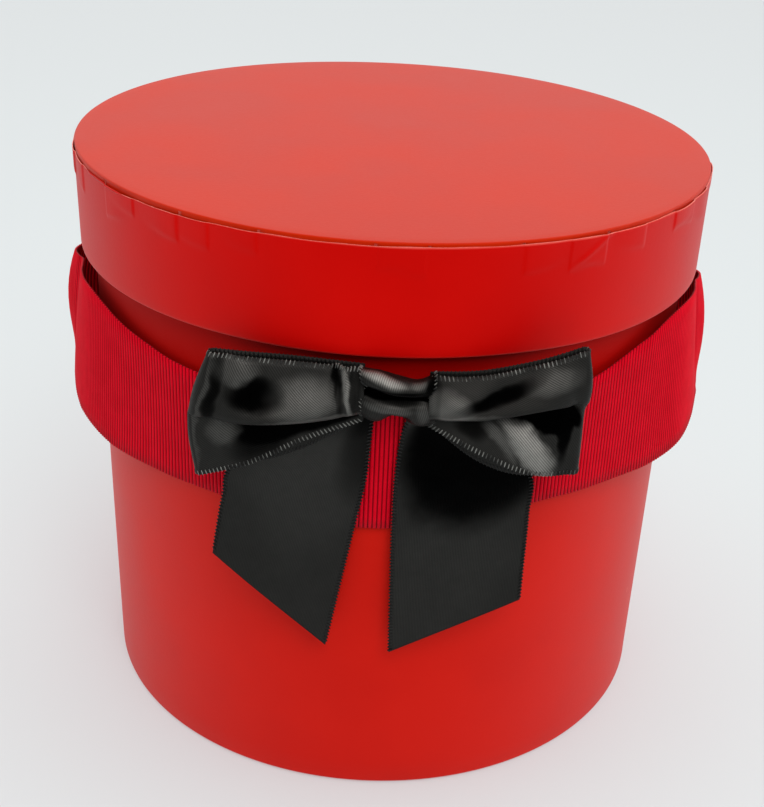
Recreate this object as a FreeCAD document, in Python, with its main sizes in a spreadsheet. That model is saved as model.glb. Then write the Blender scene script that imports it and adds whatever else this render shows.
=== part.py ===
import FreeCAD, Part

import math
import os

import Sketcher
from FreeCAD import Placement, Rotation, Vector

# A round card hat box for flowers: a tube and a lid of grey board covered with red
# paper, a ribbed ribbon handle slung round the front, and a satin bow on the handle.
# Millimetres. +Z is up and the front, with the bow, faces -Y. The origin is the
# centre of the underside.

doc = FreeCAD.newDocument("flower_box")

# ---- Driving dimensions ---------------------------------------------------------

DIMENSIONS = [
    ("paper", 0.25, "thickness of every covering and lining paper"),
    ("board", 2.0, "thickness of the grey board"),
    ("slack", 0.05, "give between layers that are only laid together"),
    ("total_height", 184.5, "underside to lid top"),
    ("lid_radius", 99.0, "outside of the lid, over its paper"),
    ("lid_depth", 32.0, "height of the lid's skirt"),
    ("body_radius", 94.9, "outside of the body, over its paper"),
    ("turn_in", 15.0, "how far a covering paper turns inside a rim"),
    ("wrap_setback", 0.6, "raw edge of the skirt's paper below the lid's top"),
    ("tab_drop", 12.0, "length of the folded tabs under the skirt's paper"),
    ("tab_count", 18, "number of folded tabs"),
    ("notch", 2.4, "width of the cut between two tabs"),
    ("base_fold", 12.0, "width of the body paper folded under the base"),
    ("slot_width", 5.0, "width of a handle slot"),
    ("slot_back", 17.0, "how far behind the middle the slots are"),
    ("slot_low", 105.5, "lower end of the slots"),
    ("slot_high", 143.5, "upper end of the slots"),
    ("ribbon", 38.0, "width of both ribbons"),
    ("ribbon_thick", 0.8, "thickness of both ribbons"),
    ("band_low", 99.5, "lower edge of the handle at the front"),
    ("band_gap", 1.1, "space between handle and body at the front"),
    ("band_reach", 48.0, "half angle of the handle's front stretch"),
    ("slot_clear", 1.0, "edge of the handle to the end of a slot"),
    ("wall_stand", 0.6, "space between the handle and the rim of a slot"),
    ("glue", 0.2, "thickness of a glue film"),
    ("glue_margin", 4.0, "edge of a glue film to the edge of the ribbon"),
    ("glue_start", 16.0, "angle of a glue film's near end behind the side"),
    ("glue_sweep", 12.0, "angle that a glue film covers"),
    ("air", 0.1, "space between a glue film and the ribbon on it"),
    ("bow_middle", 3.5, "sideways place of the knot"),
    ("bow_gap", 1.0, "space between handle and bow"),
    ("ply_gap", 0.6, "space between one ply of the bow and the next"),
    ("loop_gap", 0.4, "space between the knot and a loop"),
    ("glue_inset", 3.0, "side of the knot to the side of its glue pad"),
    ("glue_tall", 6.0, "height of the knot's glue pad"),
    ("knot_wide", 20.5, "knot, side to side"),
    ("knot_tall", 16.0, "knot, top to bottom"),
    ("knot_deep", 8.5, "knot, front to back"),
    ("knot_low", 137.5, "underside of the knot"),
    ("knot_round", 3.5, "rounding of the knot"),
    ("loop_low", 119.5, "lowest edge of the left loop"),
    ("loop_lift", 5.0, "how much higher the right loop sits"),
    ("loop_left", 44.0, "length of the left loop beyond the knot"),
    ("loop_right", 39.0, "length of the right loop beyond the knot"),
    ("loop_deep", 10.0, "a loop at its outer end, front to back"),
    ("loop_pinch", 3.2, "a loop at the knot, front to back"),
    ("tail_start", 114.0, "height where the free part of a tail starts"),
    ("tail_left", 4.6, "inner edge of the left tail to the middle"),
    ("tail_right", 4.0, "inner edge of the right tail to the middle"),
    ("tail_lean", 10.0, "sideways drift of the left tail on its way down"),
    ("tail_point", 59.0, "height of the left tail's point"),
    ("tail_cut_left", 31.0, "rise of the left tail's slanted cut"),
    ("tail_cut_right", 20.0, "rise of the right tail's slanted cut"),
]

sheet = doc.addObject("Spreadsheet::Sheet", "Sizes")
for row, (alias, value, meaning) in enumerate(DIMENSIONS, start=1):
    sheet.set(f"A{row}", str(value))
    sheet.setAlias(f"A{row}", alias)
    sheet.set(f"B{row}", meaning)
doc.recompute()


def size(alias):
    """Value of one driving dimension."""
    return float(sheet.get(alias))


def bind(item, field, formula):
    """Ties a property to the sheet; each bare word of the formula is an alias."""
    words = [f"Sizes.{word}" if word[0].isalpha() else word for word in formula.split()]
    item.setExpression(field, " ".join(words))


# ---- Ways of making a piece --------------------------------------------------------

def new_body(label):
    """Starts the PartDesign body of one sub-part."""
    body = doc.addObject("PartDesign::Body", label)
    body.Label = label
    return body


def new_sketch(body, role, height="0"):
    """Sketch on one of the body's own base planes, raised along its normal."""
    sketch = body.newObject("Sketcher::SketchObject", f"{body.Label}_sketch")
    plane = next(item for item in body.Origin.OriginFeatures if item.Role == role)
    sketch.AttachmentSupport = [(plane, "")]
    sketch.MapMode = "FlatFace"
    bind(sketch, ".AttachmentOffset.Base.z", height)
    return sketch


def pad(body, sketch, length):
    """Extrudes a sketch by a formula."""
    feature = body.newObject("PartDesign::Pad", f"{body.Label}_pad")
    feature.Profile = sketch
    bind(feature, "Length", length)
    doc.recompute()
    return feature


def circle(sketch, radius):
    """Circle about the box's own axis."""
    index = sketch.addGeometry(Part.Circle(Vector(0, 0, 0), Vector(0, 0, 1), 50.0))
    sketch.addConstraint(Sketcher.Constraint("Coincident", index, 3, -1, 1))
    number = sketch.addConstraint(Sketcher.Constraint("Radius", index, 50.0))
    bind(sketch, f"Constraints[{number}]", radius)


def disc(body, radius, low, thick):
    """Flat disc from a height up."""
    sketch = new_sketch(body, "XY_Plane", low)
    circle(sketch, radius)
    return pad(body, sketch, thick)


def tube(body, inner, outer, low, tall):
    """Upright ring from a height up."""
    sketch = new_sketch(body, "XY_Plane", low)
    circle(sketch, inner)
    circle(sketch, outer)
    return pad(body, sketch, tall)


def outline(sketch, corners):
    """Closed outline with straight sides through corners given as formulas."""
    count = len(corners)
    rough = [Vector(20 + 9 * math.cos(2 * math.pi * i / count), 20 + 9 * math.sin(2 * math.pi * i / count), 0)
             for i in range(count)]
    for i in range(count):
        sketch.addGeometry(Part.LineSegment(rough[i], rough[(i + 1) % count]))
    for i in range(count):
        sketch.addConstraint(Sketcher.Constraint("Coincident", i, 2, (i + 1) % count, 1))
    for i, (across, along) in enumerate(corners):
        for kind, formula in (("DistanceX", across), ("DistanceY", along)):
            number = sketch.addConstraint(Sketcher.Constraint(kind, -1, 1, i, 1, 20.0))
            bind(sketch, f"Constraints[{number}]", formula)


def cut_slots(body):
    """Cuts the handle's two slots, one through each side of a tube."""
    before = body.Shape.Volume
    sketch = new_sketch(body, "YZ_Plane")
    front = "slot_back - slot_width / 2"
    back = "slot_back + slot_width / 2"
    outline(sketch, [(front, "slot_low"), (back, "slot_low"), (back, "slot_high"), (front, "slot_high")])
    pocket = body.newObject("PartDesign::Pocket", f"{body.Label}_slots")
    pocket.Profile = sketch
    pocket.Type = "ThroughAll"
    pocket.Midplane = True
    doc.recompute()
    assert body.Shape.Volume < before - 1, f"{body.Label}: the slots cut nothing"


# ---- Box body ------------------------------------------------------------------------
# The tube stands round the base disc. One sheet of red paper is folded under the base,
# runs up the outside, over the rim and down inside; lining paper covers the rest.

LID_INSIDE = "total_height - paper * 2 - board"
RIM = f"{LID_INSIDE} - slack"
WALL_OUT = "body_radius - paper"
WALL_IN = f"{WALL_OUT} - board"
CAVITY = f"{WALL_IN} - paper"
FLOOR = "paper * 2 + board"


def body_wall_board():
    body = new_body("body_wall_board")
    tube(body, WALL_IN, WALL_OUT, "paper * 2", f"{RIM} - paper * 3")
    cut_slots(body)


def body_wrap_paper():
    body = new_body("body_wrap_paper")
    tube(body, WALL_OUT, "body_radius", "paper", f"{RIM} - paper")
    tube(body, "body_radius - base_fold", "body_radius", "paper", "paper")
    tube(body, CAVITY, "body_radius", f"{RIM} - paper", "paper")
    tube(body, CAVITY, WALL_IN, f"{RIM} - turn_in", "turn_in")
    cut_slots(body)


def body_lining_paper():
    body = new_body("body_lining_paper")
    low = f"{FLOOR} + paper + slack"
    tube(body, CAVITY, WALL_IN, low, f"{RIM} - turn_in - slack - ( {low} )")
    cut_slots(body)


def base_board():
    body = new_body("base_board")
    disc(body, f"{WALL_IN} - slack", "paper * 2", "board")


def base_paper():
    body = new_body("base_paper")
    disc(body, "body_radius - 1", "0", "paper")


def base_lining_paper():
    body = new_body("base_lining_paper")
    disc(body, f"{WALL_IN} - slack", FLOOR, "paper")


# ---- Lid -----------------------------------------------------------------------------
# The top disc sits on the ring. The top's paper is cut into tabs round its edge and
# folded down on the ring, and the skirt's paper covers the tabs to just below the top.

RING_OUT = "lid_radius - paper * 2"
RING_IN = f"{RING_OUT} - board"
LID_CAVITY = f"{RING_IN} - paper"
SKIRT_LOW = "total_height - lid_depth"
LID_BOARD_LOW = "total_height - paper - board"


def lid_top_board():
    body = new_body("lid_top_board")
    disc(body, f"{RING_OUT} - slack", LID_BOARD_LOW, "board")


def lid_ring_board():
    body = new_body("lid_ring_board")
    tube(body, RING_IN, RING_OUT, f"{SKIRT_LOW} + paper", "lid_depth - paper * 2 - board")


def lid_top_paper():
    body = new_body("lid_top_paper")
    disc(body, "lid_radius - paper", "total_height - paper", "paper")
    tube(body, RING_OUT, "lid_radius - paper", "total_height - paper - tab_drop", "tab_drop")
    before = body.Shape.Volume
    sketch = new_sketch(body, "XY_Plane", "total_height - paper * 2 - tab_drop")
    near = "lid_radius - 3"
    far = "lid_radius + 1"
    low = "0 - notch / 2"
    high = "notch / 2"
    outline(sketch, [(near, low), (far, low), (far, high), (near, high)])
    cut = body.newObject("PartDesign::Pocket", "tab_notch")
    cut.Profile = sketch
    cut.Reversed = True
    bind(cut, "Length", "tab_drop - wrap_setback")
    doc.recompute()
    pattern = body.newObject("PartDesign::PolarPattern", "tab_notches")
    pattern.Originals = [cut]
    pattern.Axis = (sketch, ["N_Axis"])
    pattern.Angle = 360
    bind(pattern, "Occurrences", "tab_count")
    body.Tip = pattern
    doc.recompute()
    assert body.Shape.Volume < before - 1, "the notches between the tabs cut nothing"


def lid_skirt_paper():
    body = new_body("lid_skirt_paper")
    tube(body, "lid_radius - paper", "lid_radius", SKIRT_LOW, "lid_depth - wrap_setback")
    tube(body, LID_CAVITY, "lid_radius", SKIRT_LOW, "paper")
    tube(body, LID_CAVITY, RING_IN, SKIRT_LOW, "turn_in")


def lid_ring_lining():
    body = new_body("lid_ring_lining")
    tall = "lid_depth - turn_in - paper * 2 - board - slack"
    tube(body, LID_CAVITY, RING_IN, f"{SKIRT_LOW} + turn_in + slack", tall)


def lid_top_lining():
    body = new_body("lid_top_lining")
    disc(body, f"{LID_CAVITY} - slack", LID_INSIDE, "paper")


# ---- Ribbon handle ---------------------------------------------------------------------
# One ribbed ribbon. Its front stretch hangs on the bow and can be drawn away from the
# box; the two side stretches curve out, in through the slots and along the inside wall.

def handle_band():
    outer = doc.addObject("Part::Cylinder", "handle_band_outer")
    inner = doc.addObject("Part::Cylinder", "handle_band_inner")
    bind(outer, "Radius", "body_radius + band_gap + ribbon_thick")
    bind(inner, "Radius", "body_radius + band_gap")
    bind(outer, "Angle", "band_reach * 2")
    for item in (outer, inner):
        bind(item, "Height", "ribbon")
        bind(item, ".Placement.Base.z", "band_low")
    outer.Placement.Rotation = Rotation(Vector(0, 0, 1), -90 - size("band_reach"))
    band = doc.addObject("Part::Cut", "handle_band")
    band.Label = "handle_band"
    band.Base = outer
    band.Tool = inner


def side_stations(side):
    """Plan place, lower edge and upper edge along one side stretch, front to slot."""
    low = size("band_low")
    high = low + size("ribbon")
    top = size("slot_high") - size("slot_clear")
    foot = size("slot_low") + size("slot_clear")
    lay = size("band_gap") + size("ribbon_thick") / 2
    # (angle from the front, stand-off from the body, lower edge, upper edge)
    route = [
        (size("band_reach") + 0.4, lay, low, high),
        (56.0, lay + 1.2, low, high + 3.5),
        (64.0, lay + 3.4, low, high + 5.5),
        (72.0, lay + 6.0, low + 1.5, high + 6.0),
        (80.0, lay + 7.9, low + 3.5, high + 5.0),
        (87.0, lay + 8.4, low + 5.5, top),
        (93.5, lay + 7.2, foot, top),
        (98.0, lay + 3.8, foot, top),
    ]
    stations = []
    for angle, stand_off, lower, upper in route:
        reach = size("body_radius") + stand_off
        turn = math.radians(angle)
        stations.append((side * reach * math.sin(turn), -reach * math.cos(turn), lower, upper))
    wall_in = size("body_radius") - size("paper") * 2 - size("board")
    tucked = wall_in - size("glue") - size("ribbon_thick") / 2 - size("air")
    for across in (size("body_radius") + size("wall_stand"), wall_in - 2.4):
        stations.append((side * across, size("slot_back"), foot, top))
    for angle in (103.5, 109.0, 115.0, 121.0):
        turn = math.radians(angle)
        stations.append((side * tucked * math.sin(turn), -tucked * math.cos(turn), foot, top))
    return stations


def handle_side(label, side):
    """Side stretch as a thin strip of ruled faces through upright sections."""
    stations = side_stations(side)
    half = size("ribbon_thick") / 2
    sections = []
    for index, (x, y, lower, upper) in enumerate(stations):
        before = stations[max(index - 1, 0)]
        after = stations[min(index + 1, len(stations) - 1)]
        along = Vector(after[0] - before[0], after[1] - before[1], 0).normalize()
        off = Vector(-along.y, along.x, 0) * half
        foot = Vector(x, y, lower)
        head = Vector(x, y, upper)
        sections.append([foot - off, foot + off, head + off, head - off])
    faces = []
    for near, far in zip(sections, sections[1:]):
        for i in range(4):
            j = (i + 1) % 4
            near_edge = Part.LineSegment(near[i], near[j]).toShape()
            far_edge = Part.LineSegment(far[i], far[j]).toShape()
            faces.append(Part.makeRuledSurface(near_edge, far_edge))
    for section in (sections[0], sections[-1]):
        faces.append(Part.Face(Part.makePolygon(section + section[:1])))
    shell = Part.makeShell(faces)
    shell.sewShape()
    solid = Part.makeSolid(shell)
    if solid.Volume < 0:
        solid.reverse()
    strip = doc.addObject("Part::Feature", label)
    strip.Label = label
    strip.Shape = solid
    strip.Placement = Placement()


def handle_glue(label, side):
    """Glue film between a tucked-in ribbon end and the inside wall."""
    wall_in = size("body_radius") - size("paper") * 2 - size("board")
    low = Vector(0, 0, size("slot_low") + size("glue_margin"))
    tall = size("ribbon") - size("glue_margin") * 2
    sweep = size("glue_sweep")
    outer = Part.makeCylinder(wall_in - 0.02, tall, low, Vector(0, 0, 1), sweep)
    inner = Part.makeCylinder(wall_in - size("glue"), size("ribbon"), Vector(0, 0, size("slot_low")))
    film = doc.addObject("Part::Feature", label)
    film.Label = label
    film.Shape = outer.cut(inner)
    start = size("glue_start") if side > 0 else 180.0 - size("glue_start") - sweep
    film.Placement = Placement(Vector(0, 0, 0), Rotation(Vector(0, 0, 1), start))


# ---- Bow -------------------------------------------------------------------------------
# Satin ribbon: two flat loops gathered under a wrapped knot, and two tails that hang
# from behind it. The bow is glued to the handle, and each tail swings from its top.

BOW_BACK = "body_radius + band_gap + ribbon_thick + bow_gap"
LOOP_BACK = f"{BOW_BACK} + ribbon_thick + ply_gap"


def bow_knot():
    body = new_body("bow_knot")
    block = body.newObject("PartDesign::AdditiveBox", "knot_block")
    bind(block, "Length", "knot_wide")
    bind(block, "Width", "knot_deep")
    bind(block, "Height", "knot_tall")
    bind(block, ".AttachmentOffset.Base.x", "bow_middle - knot_wide / 2")
    bind(block, ".AttachmentOffset.Base.y", f"0 - ( {LOOP_BACK} ) - knot_deep")
    bind(block, ".AttachmentOffset.Base.z", "knot_low")
    block.AttachmentSupport = [(next(p for p in body.Origin.OriginFeatures if p.Role == "XY_Plane"), "")]
    block.MapMode = "FlatFace"
    doc.recompute()
    fillet = body.newObject("PartDesign::Fillet", "knot_round")
    fillet.Base = (block, [f"Edge{i + 1}" for i in range(len(block.Shape.Edges))])
    bind(fillet, "Radius", "knot_round")
    doc.recompute()


def bow_loop(label, side, length, low):
    """Ribbon loop: a wedge that widens from the knot, hollow from top to bottom."""
    knot_end = ("knot_low", "knot_low + knot_tall", "loop_pinch")
    outer_end = (low, f"{low} + ribbon - 1", "loop_deep")
    first, last = (knot_end, outer_end) if side < 0 else (outer_end, knot_end)
    start = size("bow_middle") + side * (size("knot_wide") / 2 + size("loop_gap"))
    start += size(length) if side > 0 else 0
    wedges = []
    for name, inset, clear in (("outer", "0", "0"), ("hollow", "ribbon_thick", "3")):
        wedge = doc.addObject("Part::Wedge", f"{label}_{name}")
        # the wedge's X runs up, its Y to the left and its Z from the back ply to the front
        for mark, (bottom, top, deep) in (("", first), ("2", last)):
            bind(wedge, f"X{mark}min", f"{bottom} - {clear}")
            bind(wedge, f"X{mark}max", f"{top} + {clear}")
            bind(wedge, f"Z{mark}min", f"{LOOP_BACK} + {inset}")
            bind(wedge, f"Z{mark}max", f"{LOOP_BACK} + {deep} - {inset}")
        bind(wedge, "Ymin", "0" if side < 0 else inset)
        bind(wedge, "Ymax", f"{length} - {inset}" if side < 0 else length)
        wedge.Placement = Placement(FreeCAD.Matrix(0, -1, 0, start, 0, 0, -1, 0, 1, 0, 0, 0))
        wedges.append(wedge)
    loop = doc.addObject("Part::Cut", label)
    loop.Label = label
    loop.Base, loop.Tool = wedges


def plate(label, corners):
    """Flat ribbon piece hanging just in front of the handle."""
    body = new_body(label)
    sketch = new_sketch(body, "XZ_Plane", BOW_BACK)
    outline(sketch, corners)
    pad(body, sketch, "ribbon_thick")


def bow_tails():
    """The free tails, cut slantwise, and their gathered roots behind the loops."""
    left_in = "0 - tail_left"
    left_out = f"{left_in} - ribbon"
    right_out = "tail_right + ribbon"
    root_low = "tail_start + ply_gap"
    root_high = "knot_low - 2"
    left_knot = "bow_middle - knot_wide / 2 + 1"
    right_knot = "bow_middle + knot_wide / 2 - 1"
    plate("bow_tail_left", [
        (left_in, "tail_start"),
        (f"{left_in} - tail_lean", "tail_point"),
        (f"{left_out} - tail_lean / 2", "tail_point + tail_cut_left"),
        (left_out, "tail_start"),
    ])
    plate("bow_tail_right", [
        ("tail_right", "tail_start"),
        ("tail_right", "tail_point - 2"),
        (right_out, "tail_point - 2 + tail_cut_right"),
        (right_out, "tail_start"),
    ])
    plate("bow_tail_root_left", [
        (left_in, root_low), (left_out, root_low), (left_knot, root_high), ("0 - 2", root_high),
    ])
    plate("bow_tail_root_right", [
        ("tail_right", root_low), (right_out, root_low), (right_knot, root_high), ("tail_right", root_high),
    ])


def bow_glue():
    """Glue pad between the handle and the back of the knot."""
    body = new_body("bow_glue")
    block = body.newObject("PartDesign::AdditiveBox", "glue_block")
    bind(block, "Length", "knot_wide - glue_inset * 2")
    bind(block, "Width", "bow_gap + ribbon_thick + ply_gap - glue * 2")
    bind(block, "Height", "glue_tall")
    bind(block, ".AttachmentOffset.Base.x", "bow_middle - knot_wide / 2 + glue_inset")
    bind(block, ".AttachmentOffset.Base.y", f"0 - ( {LOOP_BACK} ) + glue / 2")
    bind(block, ".AttachmentOffset.Base.z", "knot_low")
    block.AttachmentSupport = [(next(p for p in body.Origin.OriginFeatures if p.Role == "XY_Plane"), "")]
    block.MapMode = "FlatFace"
    doc.recompute()


# ---- Build, check and write ---------------------------------------------------------------

body_wall_board()
body_wrap_paper()
body_lining_paper()
base_board()
base_paper()
base_lining_paper()
lid_top_board()
lid_ring_board()
lid_top_paper()
lid_skirt_paper()
lid_ring_lining()
lid_top_lining()
handle_band()
for word, side in (("left", -1), ("right", 1)):
    handle_side(f"handle_side_{word}", side)
    handle_glue(f"handle_glue_{word}", side)
bow_knot()
bow_loop("bow_loop_left", -1, "loop_left", "loop_low")
bow_loop("bow_loop_right", 1, "loop_right", "loop_low + loop_lift")
bow_tails()
bow_glue()
doc.recompute()

NODES = [
    "body_wall_board", "body_wrap_paper", "body_lining_paper", "base_board", "base_paper", "base_lining_paper",
    "lid_top_board", "lid_ring_board", "lid_top_paper", "lid_skirt_paper", "lid_ring_lining", "lid_top_lining",
    "handle_band", "handle_side_left", "handle_side_right", "handle_glue_left", "handle_glue_right",
    "bow_knot", "bow_loop_left", "bow_loop_right", "bow_tail_left", "bow_tail_right",
    "bow_tail_root_left", "bow_tail_root_right", "bow_glue",
]

for item in doc.Objects:
    assert not {"Invalid", "Error"} & set(item.State), f"{item.Label}: {item.State}"

os.makedirs("parts", exist_ok=True)
for label in NODES:
    shape = doc.getObjectsByLabel(label)[0].Shape
    assert not shape.isNull() and shape.isValid(), f"{label}: bad shape"
    box = shape.BoundBox
    print(f"{label:22s} solids {len(shape.Solids)} volume {shape.Volume:10.1f}"
          f"  x {box.XMin:7.2f} {box.XMax:7.2f}  y {box.YMin:7.2f} {box.YMax:7.2f}  z {box.ZMin:7.2f} {box.ZMax:7.2f}")
    shape.exportStep(f"parts/{label}.step")
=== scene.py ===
import math
import random

import bmesh
import bpy
import numpy as np
from mathutils import Matrix, Vector


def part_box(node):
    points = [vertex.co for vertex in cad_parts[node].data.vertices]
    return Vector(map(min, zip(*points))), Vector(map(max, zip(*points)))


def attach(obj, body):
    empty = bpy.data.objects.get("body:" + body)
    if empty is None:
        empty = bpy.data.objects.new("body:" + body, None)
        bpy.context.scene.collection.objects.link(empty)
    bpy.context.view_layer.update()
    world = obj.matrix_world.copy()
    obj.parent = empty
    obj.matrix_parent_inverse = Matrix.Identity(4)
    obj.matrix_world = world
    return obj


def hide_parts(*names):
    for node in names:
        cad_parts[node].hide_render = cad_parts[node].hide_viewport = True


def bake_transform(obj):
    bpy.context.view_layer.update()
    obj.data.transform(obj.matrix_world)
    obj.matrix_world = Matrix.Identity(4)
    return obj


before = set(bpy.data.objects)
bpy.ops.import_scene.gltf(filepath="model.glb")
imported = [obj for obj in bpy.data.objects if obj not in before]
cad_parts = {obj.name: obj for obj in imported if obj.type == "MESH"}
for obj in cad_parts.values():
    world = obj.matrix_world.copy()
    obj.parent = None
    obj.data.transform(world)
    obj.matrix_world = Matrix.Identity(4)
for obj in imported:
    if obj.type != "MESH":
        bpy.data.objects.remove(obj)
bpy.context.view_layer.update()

MM = 0.001
scene = bpy.context.scene

# ---- Camera ---------------------------------------------------------------------------
# Close in front of the box and well above it, looking down on the lid. The camera is turned
# a little about its line of sight and framed off the lens's middle. Angles are in radians.
lid_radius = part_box("lid_skirt_paper")[1].x
camera_back = 4.192 * lid_radius
camera_up = 3.026 * lid_radius
look_down = 0.520
look_right = 0.043
camera_roll = 0.0636
SENSOR = 36.0
LENS = 58.8268


def add_object(name, data):
    """New object in the scene."""
    made = bpy.data.objects.new(name, data)
    scene.collection.objects.link(made)
    return made


camera = add_object("camera", bpy.data.cameras.new("camera"))
camera.data.sensor_width = SENSOR
camera.data.lens = LENS
camera.data.shift_x = -0.061
camera.data.shift_y = 0.086
ahead = math.cos(look_down)
sight = Vector((math.sin(look_right) * ahead, math.cos(look_right) * ahead, -math.sin(look_down)))
level = Vector((math.cos(look_right), -math.sin(look_right), 0))
over = level.cross(sight)
across = math.cos(camera_roll) * level + math.sin(camera_roll) * over
upward = math.cos(camera_roll) * over - math.sin(camera_roll) * level
camera.matrix_world = Matrix((across, upward, -sight)).transposed().to_4x4()
camera.matrix_world.translation = Vector((0, -camera_back, camera_up))
scene.camera = camera
scene.view_settings.view_transform = "Standard"

# ---- Floor and light --------------------------------------------------------------------
# A seamless flat pale floor under a broad soft light. The surroundings are bright behind and
# beside the box and dim in front of it, which leaves the front a deep, clear red.
FLOOR_HALF = 6.0
FLOOR_DROP = 0.3 * MM
PALE = (0.36, 0.46, 0.46, 1)
FLOOR_GLOW = (0.354, 0.278, 0.294, 1)
floor_mesh = bpy.data.meshes.new("floor")
floor_corners = [(x * FLOOR_HALF, y * FLOOR_HALF, -FLOOR_DROP) for x, y in ((-1, -1), (1, -1), (1, 1), (-1, 1))]
floor_mesh.from_pydata(floor_corners, [], [(0, 1, 2, 3)])
floor = add_object("floor", floor_mesh)
floor_look = bpy.data.materials.new("pale_floor")
floor_look.use_nodes = True
floor_sockets = floor_look.node_tree.nodes["Principled BSDF"].inputs
for socket, value in (("Base Color", PALE), ("Roughness", 0.9), ("Specular IOR Level", 0.1),
                      ("Emission Color", FLOOR_GLOW), ("Emission Strength", 1.0)):
    floor_sockets[socket].default_value = value
floor_mesh.materials.append(floor_look)

world = bpy.data.worlds.new("studio")
world.use_nodes = True
scene.world = world
sky_nodes, sky_links = world.node_tree.nodes, world.node_tree.links
direction = sky_nodes.new("ShaderNodeTexCoord")
split = sky_nodes.new("ShaderNodeSeparateXYZ")
sky_links.new(direction.outputs["Generated"], split.inputs[0])
strength = sky_nodes.new("ShaderNodeMath")
strength.operation = "MULTIPLY"
# Dim at the front and bright behind; and dimmer at the horizon, where it meets the floor
SKY_FADES = (("Y", -0.8, 0.1, 0.26, 1.15), ("Z", 0.04, 0.34, 0.68, 1.0))
for slot, (part, low, high, dim, full) in enumerate(SKY_FADES):
    fade = sky_nodes.new("ShaderNodeMapRange")
    fade.interpolation_type = "SMOOTHSTEP"
    for socket, value in (("From Min", low), ("From Max", high), ("To Min", dim), ("To Max", full)):
        fade.inputs[socket].default_value = value
    sky_links.new(split.outputs[part], fade.inputs["Value"])
    sky_links.new(fade.outputs[0], strength.inputs[slot])
sky_links.new(strength.outputs[0], sky_nodes["Background"].inputs["Strength"])
sky_nodes["Background"].inputs["Color"].default_value = (0.975, 0.98, 0.96, 1)


def softbox(name, spot, aim, wide, watts):
    """Square studio light pointed at a spot."""
    lamp = bpy.data.lights.new(name, "AREA")
    lamp.size = wide
    lamp.energy = watts
    lamp.color = (1.0, 0.985, 0.965)
    holder = add_object(name, lamp)
    holder.location = spot
    holder.rotation_euler = (Vector(aim) - Vector(spot)).to_track_quat("-Z", "Y").to_euler()


MID_BOX = (0, 0, 0.1)
softbox("overhead_light", (0.25, 0.1, 1.5), MID_BOX, 1.0, 1.5)
softbox("front_light", (0.3, -1.15, 1.35), MID_BOX, 0.9, 13)
room_light = add_object("room_light", bpy.data.lights.new("room_light", "SUN"))
room_light.data.energy = 0.3
room_light.data.angle = math.radians(60)
room_light.rotation_euler = (math.radians(12), math.radians(10), 0)


# ---- Grey board and linings ----------------------------------------------------------------
# The stiff core of the box: a wound tube, a ring and two discs of unbleached grey board,
# lined with thin white paper. They show only with the lid off, apart from nicks of the lid's
# board between the tabs of its paper, where paste has stained it pink.
class Number:
    """A shader socket to do sums with."""

    def __init__(self, finish, socket):
        self.finish, self.socket = finish, socket

    def sum(self, operation, first, second=0.0):
        return self.finish.node("ShaderNodeMath", {"operation": operation}, {0: first, 1: second})

    def __add__(self, other):
        return self.sum("ADD", self, other)

    def __radd__(self, other):
        return self.sum("ADD", other, self)

    def __sub__(self, other):
        return self.sum("SUBTRACT", self, other)

    def __mul__(self, other):
        return self.sum("MULTIPLY", self, other)

    def __rmul__(self, other):
        return self.sum("MULTIPLY", other, self)

    def wave(self, pitch):
        """Even wave between 0 and 1."""
        return self.sum("SINE", self * (2 * math.pi / pitch)) * 0.5 + 0.5

    def over(self, start, full):
        """0 below start and 1 above full, smoothly; or the other way round if full is lower."""
        rising = full > start
        ends = {"From Min": min(start, full), "From Max": max(start, full),
                "To Min": 0.0 if rising else 1.0, "To Max": 1.0 if rising else 0.0}
        return self.finish.node("ShaderNodeMapRange", {"interpolation_type": "SMOOTHSTEP"}, {"Value": self, **ends})


class Finish:
    """A material in the making, round one Principled shader."""

    def __init__(self, name, **constants):
        self.material = bpy.data.materials.new(name)
        self.material.use_nodes = True
        self.tree = self.material.node_tree
        self.shader = self.tree.nodes["Principled BSDF"]
        for socket, value in constants.items():
            self.shader.inputs[socket.replace("_", " ")].default_value = value

    def node(self, kind, settings=None, inputs=None, output=0):
        made = self.tree.nodes.new(kind)
        for key, value in (settings or {}).items():
            setattr(made, key, value)
        for key, value in (inputs or {}).items():
            if isinstance(value, Number):
                self.tree.links.new(value.socket, made.inputs[key])
            else:
                made.inputs[key].default_value = value
        return Number(self, made.outputs[output])

    def place(self):
        """Place on the object, in metres."""
        return self.node("ShaderNodeTexCoord", output="Object")

    def part(self, vector, letter):
        return self.node("ShaderNodeSeparateXYZ", inputs={0: vector}, output=letter)

    def noise(self, size, detail=3.0, roughness=0.55, vector=None):
        """Soft random patches about as large as size, in metres."""
        values = {"Vector": vector or self.place(), "Scale": 1 / size, "Detail": detail, "Roughness": roughness}
        return self.node("ShaderNodeTexNoise", inputs=values)

    def blend(self, share, first, second):
        """Colour between two colours."""
        return self.node("ShaderNodeMix", {"data_type": "RGBA"}, {0: share, 6: first, 7: second}, output=2)

    def bump(self, depth, height, beneath=None):
        """Relief of a depth in metres, laid over a finer or coarser one."""
        values = {"Strength": 1.0, "Distance": depth, "Height": height}
        if beneath is not None:
            values["Normal"] = beneath
        return self.node("ShaderNodeBump", inputs=values)

    def wire(self, **channels):
        for socket, value in channels.items():
            self.tree.links.new(value.socket, self.shader.inputs[socket.replace("_", " ")])
        return self.material


def board_finish(name, dark, light, worn_tone):
    """Rough, flecked board with softly worn patches."""
    board = Finish(name, Specular_IOR_Level=0.2)
    flecks = board.noise(0.0006, 4.0)
    clouds = board.noise(0.012)
    tone = board.blend(flecks.over(0.35, 0.7), dark, light)
    worn = board.blend(clouds.over(0.45, 0.75) * 0.5, tone, worn_tone)
    return board.wire(Base_Color=worn, Roughness=0.82 + 0.12 * flecks, Normal=board.bump(0.0002, flecks))


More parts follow.
